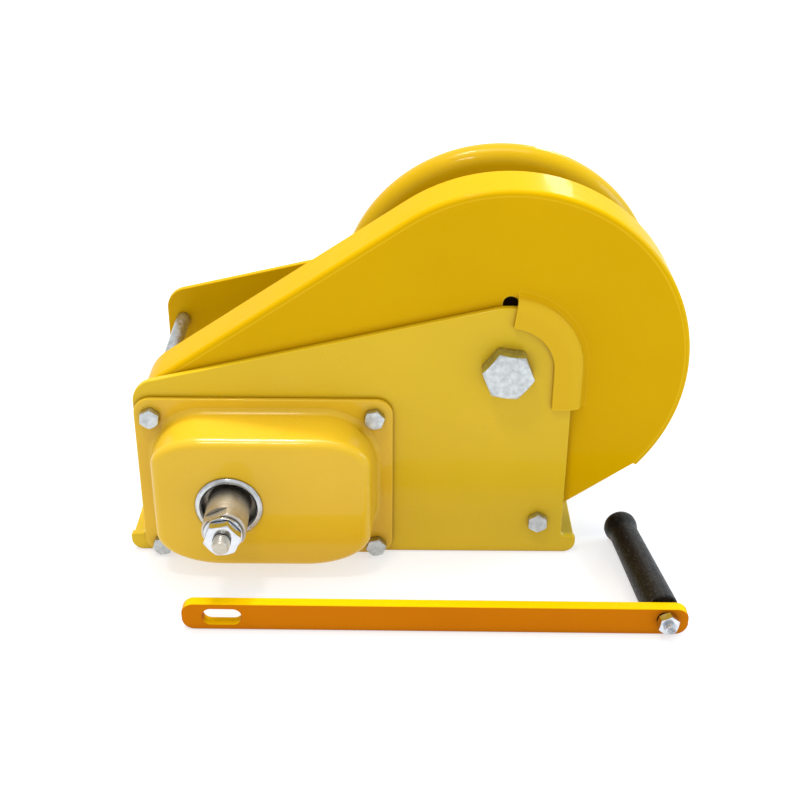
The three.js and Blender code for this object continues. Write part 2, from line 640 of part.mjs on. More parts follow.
// Tie rod between the cheeks, held by a bolt at each end
const rodNear = HOOD_NEAR + HOOD_SHEET + GAP;
const rodFar = WIDTH - PLATE - GAP;
const onTieRodAxis = groupAt(layout, TIE_ROD_AXIS[0], 0, TIE_ROD_AXIS[1]);
const rodThreads = [[rodNear - 1, rodNear + 14], [rodFar - 14, rodFar + 1]];
const rodBores = rodThreads.map(([near, far]) => rod(M6_HOLE_RADIUS, near, far));
add(onTieRodAxis, 'tie_rod', cut(rod(4.3, rodNear, rodFar), ...rodBores), ZINC);
const nearRodBolt = add(onTieRodAxis, 'cover_bolt_upper_left', hexBolt(M6, 22, 25), ZINC);
nearRodBolt.position.y = COVER_FLANGE.near - GAP;
const farRodBolt = add(onTieRodAxis, 'tie_rod_bolt', hexBolt(M6, 16), ZINC);
farRodBolt.position.y = WIDTH + GAP;
farRodBolt.rotation.z = Math.PI;

const onHoodBoltAxis = groupAt(layout, HOOD_BOLT_AXIS[0], -GAP, HOOD_BOLT_AXIS[1]);
add(onHoodBoltAxis, 'hood_bolt', hexBolt(M6, 14, 30), ZINC);
add(onHoodBoltAxis, 'hood_nut', hexNut(M6.flats, M6_HOLE_RADIUS, rodNear + GAP, rodNear + GAP + 5), ZINC);

// Drum axle
const axle = add(onDrumAxis, 'axle_bolt', hexBolt(M16, AXLE_LENGTH, AXLE_HEAD_TURN), ZINC);
axle.position.y = -GAP;
add(onDrumAxis, 'axle_washer', tube(M16.radius + GAP, 15, WIDTH + GAP, WIDTH + 3), ZINC);
add(onDrumAxis, 'axle_nut', hexNut(M16.flats, AXLE_HOLE_RADIUS, WIDTH + 3.3, WIDTH + 16.3, 15), ZINC);
add(onDrumAxis, 'axle_sleeve', tube(M16.radius + GAP, SLEEVE_RADIUS, rodNear, rodFar), STEEL);

for (const [shaft, place, near] of [['crank', onCrankAxis, -1.5], ['counter', onCounterAxis, 0]]) {
  add(place, `${shaft}_bush_near`, bushGeometry(near, 8.2, rodNear, 8.2), BRONZE);
  add(place, `${shaft}_bush_far`, bushGeometry(rodFar - 2.6, WIDTH + 1.2, rodFar - 2.6, rodFar), BRONZE);
  add(place, `${shaft}_circlip`, circlip(), STEEL);
}

// Drum
const barrelEnds = [NEAR_FLANGE.far + GAP, FAR_FLANGE.near - GAP];
const barrel = tube(BARREL_RADIUS - BARREL_WALL, BARREL_RADIUS, ...barrelEnds, 32);
add(onDrumAxis, 'drum_barrel', barrel, YELLOW_PAINT);
const { radius: nearRadius, near: nearFace, far: farFace } = NEAR_FLANGE;
const nearFlange = tube(DRUM_BORE_RADIUS, nearRadius, nearFace, farFace, FLANGE_SIDES);
add(onDrumAxis, 'drum_flange_near', nearFlange, YELLOW_PAINT);
add(onDrumAxis, 'drum_flange_far', farFlangeGeometry(), YELLOW_PAINT);
add(onDrumAxis, 'drum_gear', gearGeometry(DRUM_GEAR, DRUM_BORE_RADIUS, 0), STEEL);
for (const [end, near, far] of [['near', 7, 40], ['far', 78, rodFar - GAP]]) {
  const bush = tube(DRUM_BUSH_BORE_RADIUS, DRUM_BORE_RADIUS - GAP, near, far, 24);
  add(onDrumAxis, `drum_bush_${end}`, bush, BRONZE);
}
add(onDrumAxis, 'rope_clamp', ropeClampGeometry(), ZINC);
const clampBolt = add(onDrumAxis, 'rope_clamp_bolt', hexBolt(M6, 3.6), ZINC);
clampBolt.position.set(0, ROPE_CLAMP.near + ROPE_CLAMP.thickness + GAP, ROPE_CLAMP.z);
clampBolt.rotation.z = Math.PI;

// Countershaft
add(onCounterAxis, 'counter_shaft', counterShaftGeometry(), STEEL);
add(onCounterAxis, 'counter_gear', gearGeometry(COUNTER_GEAR, SHAFT_BORE_RADIUS, COUNTER_PHASE), STEEL);
add(onCounterAxis, 'counter_pinion', pinionGeometry(DRUM_GEAR.module, 19, 35.5, COUNTER_PHASE), STEEL);

// Crank shaft and brake
const boss = PRESSURE_FLANGE.boss;
add(onCrankAxis, 'crank_shaft', crankShaftGeometry(), STEEL);
add(onCrankAxis, 'crank_pinion', pinionGeometry(COUNTER_GEAR.module, 9, 18.6, CRANK_PHASE), STEEL);
add(onCrankAxis, 'pressure_flange', turned([
  [SHAFT_BORE_RADIUS, PRESSURE_FLANGE.bossNear], [boss, PRESSURE_FLANGE.bossNear],
  [boss, PRESSURE_FLANGE.near], [BRAKE_RADIUS, PRESSURE_FLANGE.near],
  [BRAKE_RADIUS, PRESSURE_FLANGE.far], [SHAFT_BORE_RADIUS, PRESSURE_FLANGE.far],
], 24), STEEL);
for (const [side, disc] of [['inner', INNER_DISC], ['outer', OUTER_DISC]]) {
  const lining = tube(boss + GAP, BRAKE_RADIUS, disc.near, disc.far, 24);
  add(onCrankAxis, `friction_disc_${side}`, lining, FRICTION);
}
add(onCrankAxis, 'ratchet_wheel', ratchetGeometry(), STEEL);
add(onCrankAxis, 'drive_hub', driveHubGeometry(), STEEL);
const washer = tube(STUD_RADIUS + GAP, HUB_WASHER.radius, HUB_WASHER.near, HUB_WASHER.far);
add(onCrankAxis, 'hub_washer', washer, ZINC);
add(onCrankAxis, 'hub_nut', hexNut(HUB_NUT.flats, STUD_RADIUS + 0.4, HUB_NUT.near, HUB_NUT.far, 10), ZINC);
add(onPawlAxis, 'pawl', pawlGeometry(), STEEL);
add(onPawlAxis, 'pawl_pin', pawlPinGeometry(), STEEL);
add(onPawlAxis, 'pawl_clip', pawlClipGeometry(), STEEL);
add(onPawlAxis, 'pawl_spring', pawlSpringGeometry(), STEEL);

// Loose crank, lying on its edge in front of the winch
const crank = groupAt(layout, ARM_CENTRE[0], ARM_CENTRE[1], 0);
crank.rotation.z = THREE.MathUtils.degToRad(ARM_TURN);
add(crank, 'crank_arm', armGeometry(), ORANGE_PAINT);
const onGripAxis = groupAt(crank, GRIP_X, 0, GRIP_Z);
onGripAxis.rotation.z = THREE.MathUtils.degToRad(GRIP_LEAN);
add(onGripAxis, 'grip_bolt', gripBoltGeometry(), CHROME);
add(onGripAxis, 'grip_nut', hexNut(M6.flats, M6_HOLE_RADIUS, GRIP_NUT_FAR - 5, GRIP_NUT_FAR, 20), CHROME);
add(onGripAxis, 'grip', gripGeometry(), BLACK_PLASTIC);

export default winch;
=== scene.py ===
"""Looks for a hand brake winch with its loose crank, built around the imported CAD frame.

Lengths in the pieces below are in millimetres and are turned into metres when a mesh is made. A cross-section
drawn as [x, z] is seen from the crank side, and one drawn as [radius, y] is turned about a shaft.
"""

import json
import math

import bmesh
import bpy
from mathutils import Matrix, Vector
from mathutils.geometry import tessellate_polygon


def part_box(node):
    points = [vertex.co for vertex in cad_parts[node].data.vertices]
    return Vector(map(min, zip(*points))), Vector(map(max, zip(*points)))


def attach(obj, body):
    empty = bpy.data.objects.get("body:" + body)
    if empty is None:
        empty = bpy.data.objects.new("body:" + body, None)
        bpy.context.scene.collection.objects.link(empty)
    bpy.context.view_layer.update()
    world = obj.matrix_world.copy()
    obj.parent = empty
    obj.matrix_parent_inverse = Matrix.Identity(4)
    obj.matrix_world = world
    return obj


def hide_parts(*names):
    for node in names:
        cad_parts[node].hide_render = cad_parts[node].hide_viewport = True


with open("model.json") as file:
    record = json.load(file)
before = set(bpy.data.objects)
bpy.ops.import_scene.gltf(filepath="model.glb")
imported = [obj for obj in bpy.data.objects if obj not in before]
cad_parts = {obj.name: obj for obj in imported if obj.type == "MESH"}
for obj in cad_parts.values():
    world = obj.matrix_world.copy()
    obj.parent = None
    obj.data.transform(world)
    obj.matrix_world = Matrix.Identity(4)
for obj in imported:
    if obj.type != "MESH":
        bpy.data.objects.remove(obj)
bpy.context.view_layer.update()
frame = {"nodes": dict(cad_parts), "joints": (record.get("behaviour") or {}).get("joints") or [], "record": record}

MM = 0.001
SHARP_ANGLE = math.radians(32)
WORN_EDGE = 0.00025
WORN_EDGE_ANGLE = math.radians(40)

# Sizes of the real pieces that more than one function uses
FOOT_OVERHANG = 8.3
BUSH_HOLE = 10.8
AXLE_HOLE = 8.5
SCREW_HOLE = 3.3
SHAFT = 7.5
CIRCLIP_GROOVE = 6.8
STUD = 4.6
DRUM_BORE = 14.3
CORNERS = ("lower_left", "lower_right", "upper_right", "upper_left")


# ---------------------------------------------------------------- places, all from the CAD frame

def box(node):
    low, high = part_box(node)
    return low / MM, high / MM


def middle(node):
    low, high = box(node)
    return (low + high) / 2


def joint(name):
    """A joint's point and axis."""
    found = next(j for j in frame["joints"] if j["name"] == name)
    return Vector(found["pos_m"]) / MM, Vector(found["axis"]).normalized()


DRUM, _ = joint("drum_spin")
CRANK, _ = joint("crankshaft_spin")


# ---------------------------------------------------------------- outlines

def polar(centre, radius, degrees):
    angle = math.radians(degrees)
    return (centre[0] + radius * math.cos(angle), centre[1] + radius * math.sin(angle))


def arc(centre, radius, start, end, error=0.02):
    step = 2 * math.acos(max(0.0, 1 - error / max(radius, error * 2)))
    steps = max(4, math.ceil(abs(math.radians(end - start)) / step))
    return [polar(centre, radius, start + (end - start) * i / steps) for i in range(steps + 1)]


def circle(centre, radius, sides=40):
    return [polar(centre, radius, 360 * i / sides) for i in range(sides)]


def rounded(corners):
    """A polygon whose corners are (x, z) or (x, z, radius)."""
    points = []
    for i, corner in enumerate(corners):
        at = Vector(corner[:2])
        radius = corner[2] if len(corner) > 2 else 0
        if not radius:
            points.append(tuple(at))
            continue
        before = (Vector(corners[i - 1][:2]) - at).normalized()
        after = (Vector(corners[(i + 1) % len(corners)][:2]) - at).normalized()
        half = math.acos(max(-1, min(1, before.dot(after)))) / 2
        centre = at + (before + after).normalized() * radius / math.sin(half)
        start = at + before * radius / math.tan(half) - centre
        end = at + after * radius / math.tan(half) - centre
        turn = math.degrees(math.atan2(start.x * end.y - start.y * end.x, start.dot(end)))
        first = math.degrees(math.atan2(start.y, start.x))
        points += arc(centre, radius, first, first + turn)
    return points


def rectangle(left, right, bottom, top, radius=0):
    return rounded([(x, z, radius) for x, z in ((left, bottom), (right, bottom), (right, top), (left, top))])


def area(points):
    return sum(a[0] * b[1] - b[0] * a[1] for a, b in zip(points, points[1:] + points[:1])) / 2


def inward(points, closed=True):
    """At each point, the vector to its left that moves both neighbouring edges by one."""
    count = len(points)
    sides = []
    for i in range(count if closed else count - 1):
        a, b = Vector(points[i]), Vector(points[(i + 1) % count])
        along = (b - a).normalized()
        sides.append(Vector((-along.y, along.x)))
    if not closed:
        sides.append(sides[-1])
    result = []
    for i in range(count):
        before = sides[i - 1] if closed or i > 0 else sides[0]
        after = sides[i] if closed or i < count - 1 else sides[i - 1]
        result.append((before + after) / max(0.3, 1 + before.dot(after)))
    return result


def inset(points, by, closed=True):
    return [(p[0] + n.x * by, p[1] + n.y * by) for p, n in zip(points, inward(points, closed))]


# ---------------------------------------------------------------- solids, as (vertices, faces) in millimetres

def merged(*parts):
    verts, faces = [], []
    for more_verts, more_faces in parts:
        start = len(verts)
        verts += more_verts
        faces += [[i + start for i in face] for face in more_faces]
    return verts, faces


def moved(part, matrix):
    return [tuple(matrix @ Vector(v)) for v in part[0]], part[1]


def filled(loops, y, flip):
    """A flat face at y inside the first loop and outside the others."""
    verts = [(x, y, z) for loop in loops for x, z in loop]
    triangles = tessellate_polygon([[Vector((x, z, 0)) for x, z in loop] for loop in loops])
    return verts, [list(reversed(t)) if flip else list(t) for t in triangles]


def plate(outline, near, far, holes=(), edge=0.5, far_edge=None, steps=3):
    """An outline in the XZ plane, thickened from y = near to y = far, with rounded edges."""
    far_edge = edge if far_edge is None else far_edge
    loops = [outline if area(outline) > 0 else outline[::-1]]
    loops += [hole if area(hole) < 0 else hole[::-1] for hole in holes]
    levels = []
    for i in range(steps + 1):
        angle = math.pi / 2 * i / steps
        levels.append((edge * (1 - math.sin(angle)), near + edge * (1 - math.cos(angle))))
    for i in range(steps, -1, -1):
        angle = math.pi / 2 * i / steps
        levels.append((far_edge * (1 - math.sin(angle)), far - far_edge * (1 - math.cos(angle))))
    parts = [
        filled([inset(loop, edge) for loop in loops], near, False),
        filled([inset(loop, far_edge) for loop in loops], far, True),
    ]
    for loop in loops:
        rows = [[(x, y, z) for x, z in inset(loop, by)] for by, y in levels]
        parts.append(grid(rows, True))
    return merged(*parts)


def grid(rows, closed):
    """Quads between rows of points; closed joins each row's last point to its first."""
    count = len(rows[0])
    verts = [p for row in rows for p in row]
    faces = []
    for r in range(len(rows) - 1):
        for i in range(count if closed else count - 1):
            j = (i + 1) % count
            faces.append([r * count + i, r * count + j, (r + 1) * count + j, (r + 1) * count + i])
    return verts, faces


def sweep(path, profile):
    """A closed profile of (inset from the path, y) run along an open path, with its ends capped."""
    normals = inward(path, False)
    rows = [[(p[0] + n.x * by, y, p[1] + n.y * by) for by, y in profile] for p, n in zip(path, normals)]
    verts, faces = grid(rows, True)
    last = len(verts) - len(profile)
    return verts, faces + [list(range(len(profile))), [last + i for i in reversed(range(len(profile)))]]


def turned(profile, centre, sides=96):
    """A profile of (radius, y) turned about the line through centre along Y."""
    rows = []
    for i in range(sides):
        c, s = math.cos(2 * math.pi * i / sides), math.sin(2 * math.pi * i / sides)
        rows.append([(centre[0] + r * c, y, centre[1] + r * s) for r, y in profile])
    verts = [p for row in rows for p in row]
    count = len(profile)
    closed = profile[0][0] > 0 and profile[-1][0] > 0
    faces = []
    for i in range(sides):
        j = (i + 1) % sides
        for k in range(count if closed else count - 1):
            m = (k + 1) % count
            faces.append([i * count + k, j * count + k, j * count + m, i * count + m])
    return verts, faces


def softened(profile, edge):
    """A closed (radius, y) profile with its corners rounded, apart from corners on the axis."""
    return rounded([(r, y, 0 if r <= 0 else edge) for r, y in profile])


def tube(inner, outer, near, far, centre, edge=0.4, sides=96):
    return turned(softened([(inner, near), (outer, near), (outer, far), (inner, far)], edge), centre, sides)


def threaded(radius, pitch, near, far, centre, sides=32):
    """A rod with a helical thread, and a chamfer at each end."""
    rows = []
    steps = int((far - near) / pitch * 6)
    depth = 0.6 * pitch
    for i in range(steps + 1):
        y = near + (far - near) * i / steps
        taper = max(0, pitch - min(y - near, far - y)) * 0.7
        row = []
        for k in range(sides):
            phase = (y / pitch - k / sides) % 1
            cut = depth * abs(2 * phase - 1)
            r = min(radius - cut, radius - taper)
            angle = 2 * math.pi * k / sides
            row.append((centre[0] + r * math.cos(angle), y, centre[1] + r * math.sin(angle)))
        rows.append(row)
    verts, faces = grid(rows, True)
    last = len(verts) - sides
    return verts, faces + [list(range(sides)), [last + i for i in reversed(range(sides))]]


def mesh_of(part):
    mesh = bpy.data.meshes.new("part")
    bm = bmesh.new()
    verts = [bm.verts.new(Vector(v) * MM) for v in part[0]]
    for face in part[1]:
        corners = [verts[i] for i in face]
        if len(set(corners)) > 2:
            try:
                bm.faces.new(corners)
            except ValueError:
                pass
    bmesh.ops.remove_doubles(bm, verts=bm.verts, dist=2e-6)
    bmesh.ops.dissolve_degenerate(bm, edges=bm.edges, dist=1e-7)
    bmesh.ops.recalc_face_normals(bm, faces=bm.faces)
    bm.to_mesh(mesh)
    bm.free()
    return mesh


def boolean(part, tool, operation):
    """One solid joined with, cut by or kept inside another."""
    objects = []
    for source in (part, tool):
        o = bpy.data.objects.new("boolean", mesh_of(source))
        bpy.context.scene.collection.objects.link(o)
        objects.append(o)
    modifier = objects[0].modifiers.new("cut", "BOOLEAN")
    modifier.operation = operation
    modifier.solver = "EXACT"
    modifier.object = objects[1]
    bpy.context.view_layer.update()
    shown = objects[0].evaluated_get(bpy.context.evaluated_depsgraph_get()).to_mesh()
    verts = [tuple(v.co / MM) for v in shown.vertices]
    faces = [list(p.vertices) for p in shown.polygons]
    for o in objects:
        bpy.data.objects.remove(o)
    return verts, faces


def hexagon(flats, centre, turn):
    return [polar(centre, flats / math.sqrt(3), turn + 60 * i) for i in range(6)]


def hex_block(flats, near, far, centre, turn, both_ends=False):
    """A bolt head or nut with the chamfer that a lathe leaves on its corners."""
    corner = flats / math.sqrt(3)
    slope = (corner - flats / 2 + 0.35) * 0.6
    face = flats / 2 - 0.35
    profile = [(0, near - 0.01), (face, near - 0.01), (corner + 0.1, near + slope)]
    if both_ends:
        profile += [(corner + 0.1, far - slope), (face, far + 0.01), (0, far + 0.01)]
    else:
        profile += [(corner + 0.1, far + 0.01), (0, far + 0.01)]
    block = plate(hexagon(flats, centre, turn), near, far, edge=0.12)
    return boolean(block, turned(profile, centre, 72), "INTERSECT")


# ---------------------------------------------------------------- materials

class Nodes:
    """Shorthand for building one material's node tree."""

    def __init__(self, name):
        self.material = bpy.data.materials.new(name)
        self.material.use_nodes = True
        self.tree = self.material.node_tree
        self.shader = self.tree.nodes["Principled BSDF"]
        self.place = self.add("ShaderNodeTexCoord").outputs["Object"]

    def add(self, kind, inputs=None, **settings):
        node = self.tree.nodes.new(kind)
        for key, value in settings.items():
            setattr(node, key, value)
        for key, value in (inputs or {}).items():
            self.put(node.inputs[key], value)
        return node

    def put(self, socket, value):
        if isinstance(value, bpy.types.NodeSocket):
            self.tree.links.new(value, socket)
        elif socket.type == "RGBA" and len(value) == 3:
            socket.default_value = (*value, 1)
        else:
            socket.default_value = value

    def noise(self, scale, detail=3, roughness=0.5, stretch=None):
        place = self.place
        if stretch:
            place = self.add("ShaderNodeMapping", {"Vector": place, "Scale": stretch}).outputs[0]
        inputs = {"Vector": place, "Scale": scale, "Detail": detail, "Roughness": roughness}
        return self.add("ShaderNodeTexNoise", inputs).outputs["Fac"]

    def ranged(self, value, low, high, to_low, to_high):
        inputs = {"Value": value, "From Min": low, "From Max": high, "To Min": to_low, "To Max": to_high}
        return self.add("ShaderNodeMapRange", inputs).outputs[0]

    def mix(self, factor, a, b, blend="MIX"):
        node = self.add("ShaderNodeMix", data_type="RGBA", blend_type=blend)
        self.put(node.inputs[0], factor)
        self.put(node.inputs[6], a)
        self.put(node.inputs[7], b)
        return node.outputs[2]

    def math(self, operation, a, b):
        node = self.add("ShaderNodeMath", operation=operation)
        self.put(node.inputs[0], a)
        self.put(node.inputs[1], b)
        return node.outputs[0]

    def bump(self, height, strength, distance):
        inputs = {"Height": height, "Strength": strength, "Distance": distance}
        self.put(self.shader.inputs["Normal"], self.add("ShaderNodeBump", inputs).outputs[0])

    def crevice(self, distance):
        """0 in the open, rising to 1 deep in a corner."""
        found = self.add("ShaderNodeAmbientOcclusion", {"Distance": distance}, samples=6)
        return self.ranged(found.outputs["AO"], 0.25, 0.85, 1.0, 0.0)

    def edge(self, radius):
        """0 on a flat, rising to 1 on a sharp outer edge."""
        soft = self.add("ShaderNodeBevel", {"Radius": radius}, samples=4).outputs[0]
        true = self.add("ShaderNodeNewGeometry").outputs["Normal"]
        product = self.add("ShaderNodeVectorMath", operation="DOT_PRODUCT")
        self.put(product.inputs[0], soft)
        self.put(product.inputs[1], true)
        return self.ranged(product.outputs["Value"], 0.98, 0.80, 0.0, 1.0)

    def set(self, **values):
        for key, value in values.items():
            self.put(self.shader.inputs[key.replace("_", " ")], value)


def paint(name, colour, shade, light, gloss, coat, lip_colour=None):
    """Glossy enamel: faint orange peel, slow colour drift, painted shade in the corners and a painted highlight
    along the edges.

    A lip that stands in front of the near cheek can have thicker paint of its own colour.
    """
    n = Nodes(name)
    drift = n.ranged(n.noise(14, 4), 0.3, 0.7, 0.0, 1.0)
    darker = tuple(c * 0.94 for c in colour)
    base = n.mix(drift, colour, darker)
    if lip_colour:
        front = box("near_cheek")[0].y * MM
        y = n.add("ShaderNodeSeparateXYZ", {0: n.place}).outputs["Y"]
        base = n.mix(n.ranged(y, front, front + 0.004, 1.0, 0.0), base, lip_colour)
    specks = n.ranged(n.noise(900, 2), 0.70, 0.78, 0.0, 0.25)
    base = n.mix(specks, base, light)
    # Painted highlight: edges are lightened towards the bright colour, as if catching the light.
    base = n.mix(n.math("MULTIPLY", n.edge(0.0011), 0.45), base, light)
    # Painted shade: darker towards the shade colour in corners and between parts.
    base = n.mix(n.math("MULTIPLY", n.crevice(0.006), 0.7), base, shade)
    smear = n.ranged(n.noise(45, 5, 0.6), 0.35, 0.7, 0.26, 0.40)
    n.set(Base_Color=base, Roughness=smear, Specular_IOR_Level=gloss, Coat_Weight=coat, Coat_Roughness=0.06)
    n.bump(n.noise(650, 2, 0.4), 0.10, 0.0004)
    return n.material


def crank_paint():
    """The crank's heavier paint: deep orange on its upright faces, bright yellow painted onto its upward-facing
    top edge as painted light, and painted shade in its corners.
    """
    n = Nodes("crank_enamel")
    # Painted light: faces that point up are painted a lighter yellow, as if lit from above.
    up = n.add("ShaderNodeSeparateXYZ", {0: n.add("ShaderNodeNewGeometry").outputs["Normal"]}).outputs["Z"]
    top = n.ranged(up, 0.35, 0.8, 0.0, 1.0)
    drift = n.ranged(n.noise(20, 4), 0.3, 0.7, 0.0, 1.0)
    face = n.mix(drift, (0.53, 0.158, 0.0), (0.50, 0.145, 0.0))
    base = n.mix(top, face, (0.78, 0.47, 0.0))
    # Painted shade: darker in corners and between parts.
    base = n.mix(n.math("MULTIPLY", n.crevice(0.006), 0.7), base, (0.25, 0.06, 0.002))
    rough = n.ranged(n.noise(60, 5), 0.3, 0.7, 0.42, 0.6)
    n.set(Base_Color=base, Roughness=rough, Specular_IOR_Level=0.03)
    n.bump(n.noise(500, 2, 0.4), 0.12, 0.0004)
    return n.material


def plated(name, colour, dark, roughness, grain=260, corner=0.0015):
    """Plated steel with a faint mottle, cloudy roughness and painted shade in its corners."""
    n = Nodes(name)
    cloud = n.ranged(n.noise(grain, 4, 0.6), 0.35, 0.7, 0.0, 1.0)
    base = n.mix(cloud, colour, dark)
    # Painted shade: darker in corners and between parts.
    base = n.mix(n.math("MULTIPLY", n.crevice(corner), 0.5), base, tuple(c * 0.3 for c in dark))
    rough = n.ranged(n.noise(grain * 1.7, 3), 0.3, 0.7, roughness, roughness + 0.16)
    n.set(Base_Color=base, Metallic=1.0, Roughness=rough)
    n.bump(n.noise(grain * 3, 2), 0.12, 0.0003)
    return n.material


def machined(name, colour, dark, pitch, axis_stretch=(1, 60, 1)):
    """Turned steel: fine rings along Y from the lathe tool, oil-brown staining, and painted shade, nearly black,
    deep in its corners and holes.
    """
    n = Nodes(name)
    rings = n.noise(pitch, 2, 0.7, axis_stretch)
    stain = n.ranged(n.noise(90, 5, 0.65), 0.35, 0.7, 0.0, 1.0)
    base = n.mix(stain, colour, dark)
    base = n.mix(n.math("MULTIPLY", rings, 0.35), base, tuple(c * 0.5 for c in dark))
    # Painted shade: nearly black in corners and holes.
    base = n.mix(n.math("MULTIPLY", n.crevice(0.006), 0.9), base, (0.01, 0.009, 0.008))
    n.set(Base_Color=base, Metallic=0.9, Roughness=n.ranged(rings, 0.3, 0.7, 0.28, 0.48))
    n.bump(rings, 0.35, 0.0005)
    return n.material


def moulded_black():
    """Grained black plastic with pale dust specks and a painted cool highlight along its edges."""
    n = Nodes("grip_plastic")
    specks = n.ranged(n.noise(900, 2, 0.6), 0.58, 0.68, 0.0, 0.8)
    base = n.mix(specks, (0.003, 0.0025, 0.002), (0.07, 0.055, 0.045))
    # Painted highlight: edges are lightened towards a cool grey sheen.
    base = n.mix(n.math("MULTIPLY", n.edge(0.0008), 0.3), base, (0.06, 0.07, 0.08))
    rough = n.ranged(n.noise(400, 3), 0.3, 0.7, 0.36, 0.55)
    n.set(Base_Color=base, Roughness=rough, Specular_IOR_Level=0.25)
    n.bump(n.noise(1300, 3, 0.6), 0.5, 0.0004)
    return n.material


def lining():
    """Woven brake lining: brown fibre flecks in a dark binder."""
    n = Nodes("brake_lining")
    flecks = n.ranged(n.noise(1200, 4, 0.7), 0.5, 0.65, 0.0, 1.0)
    n.set(Base_Color=n.mix(flecks, (0.05, 0.035, 0.025), (0.22, 0.15, 0.08)), Roughness=0.85)
    n.bump(n.noise(1100, 3), 0.6, 0.0005)
    return n.material


SHADE = (0.30, 0.13, 0.004)
BRIGHT = (0.92, 0.66, 0.05)
CHEEK_PAINT = paint("cheek_enamel", (0.640, 0.430, 0.006), SHADE, BRIGHT, 0.20, 0.12)
HOOD_PAINT = paint("hood_enamel", (0.605, 0.350, 0.0), SHADE, BRIGHT, 0.012, 0.05, (0.62, 0.39, 0.016))
COVER_PAINT = paint("cover_enamel", (0.69, 0.432, 0.016), SHADE, BRIGHT, 0.15, 0.35)
DRUM_PAINT = paint("drum_enamel", (0.53, 0.320, 0.002), SHADE, BRIGHT, 0.05, 0.12)
FAR_CHEEK_PAINT = paint("far_cheek_enamel", (0.61, 0.345, 0.0), SHADE, BRIGHT, 0.03, 0.04)
CRANK_PAINT = crank_paint()
ZINC = plated("zinc_plate_finish", (0.56, 0.59, 0.60), (0.37, 0.39, 0.40), 0.24)
CHROME = plated("chrome_finish", (0.66, 0.68, 0.71), (0.48, 0.50, 0.54), 0.10, 90)
RING_CHROME = plated("ring_chrome", (0.62, 0.65, 0.68), (0.38, 0.40, 0.42), 0.14, 120, 0.012)
HUB_STEEL = machined("hub_turned_steel", (0.66, 0.62, 0.54), (0.44, 0.39, 0.31), 60, (1, 16, 1))
STEEL = machined("shaft_steel", (0.50, 0.49, 0.47), (0.30, 0.29, 0.27), 40)
BRONZE = machined("bush_bronze", (0.60, 0.40, 0.17), (0.35, 0.22, 0.09), 60)
LINING = lining()
GRIP_PLASTIC = moulded_black()


# ---------------------------------------------------------------- pieces

def finish_mesh(o, material):
    """Smooth shading with sharp edges kept, and flat faces kept flat."""
    mesh = o.data
    mesh.materials.clear()
    mesh.materials.append(material)
    mesh.polygons.foreach_set("use_smooth", [True] * len(mesh.polygons))
    mesh.set_sharp_from_angle(angle=SHARP_ANGLE)
    weighted = o.modifiers.new("flat_faces", "WEIGHTED_NORMAL")
    weighted.keep_sharp = True


def piece(name, part, material, body):
    """A new piece that stands for the CAD node whose name it carries, with `_look` added."""
    o = bpy.data.objects.new(name + "_look", mesh_of(part))
    bpy.context.scene.collection.objects.link(o)
    finish_mesh(o, material)
    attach(o, body)
    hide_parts(name)
    return o


def shaft_holes():
    """The holes that both shafts' bushes and the drum's axle bolt go through."""
    counter, _ = joint("countershaft_spin")
    return [circle((c.x, c.z), r) for c, r in ((CRANK, BUSH_HOLE), (counter, BUSH_HOLE), (DRUM, AXLE_HOLE))]


def screw_holes(names):
    return [circle((middle(name).x, middle(name).z), SCREW_HOLE, 24) for name in names]


def cheek(name, bolt_nodes):
    """A cheek with a foot at each end of its bottom edge."""
    low, high = box(name)
    foot, slope = 10.5, math.tan(math.radians(13.27))
    left, right = low.x + FOOT_OVERHANG, high.x - FOOT_OVERHANG
    left_top = 105.25
    outline = rounded([
        (low.x, low.z, 6.5), (high.x, low.z, 6.5), (high.x, foot, 1.5), (right, foot, 2.5),
        (right, left_top + (right - left) * slope, 35), (left, left_top, 13),
        (left, foot, 2.5), (low.x, foot, 1.5),
    ])
    holes = shaft_holes() + screw_holes(bolt_nodes)
    if name == "near_cheek":
        pin = middle("pawl_pin")
        holes.append(circle((pin.x, pin.z), 4.3, 24))
    material = CHEEK_PAINT if name == "near_cheek" else FAR_CHEEK_PAINT
    piece(name, plate(outline, low.y, high.y, holes, edge=0.7), material, "frame")


def base_plate():
    low, high = box("base_plate")
    outline = rectangle(low.x, high.x, low.y, high.y, 8)
    holes = [circle((x, y), 5.5) for x in (low.x + 31, high.x - 31) for y in (low.y + 25.7, high.y - 25.7)]
    verts, faces = plate(outline, low.z, high.z, holes, edge=0.6)
    flat = [(x, y, z) for x, z, y in verts]
    piece("base_plate", (flat, faces), CHEEK_PAINT, "frame")


def hood_path(low, high, bottom, rim_end):
    """The hood's edge from the rim's end on the right, over the drum, to the bottom left."""
    centre, radius, slope, corner = (DRUM.x, DRUM.z), high.x - DRUM.x, 33.98, 25
    end = math.degrees(math.asin((rim_end - DRUM.z) / radius))
    tangent = polar(centre, radius, 90 + slope)
    corner_height = tangent[1] - (tangent[0] - low.x) * math.tan(math.radians(slope))
    turn = rounded([tangent, (low.x, corner_height, corner), (low.x, bottom)])[1:]
    return arc(centre, radius, end, 90 + slope) + turn


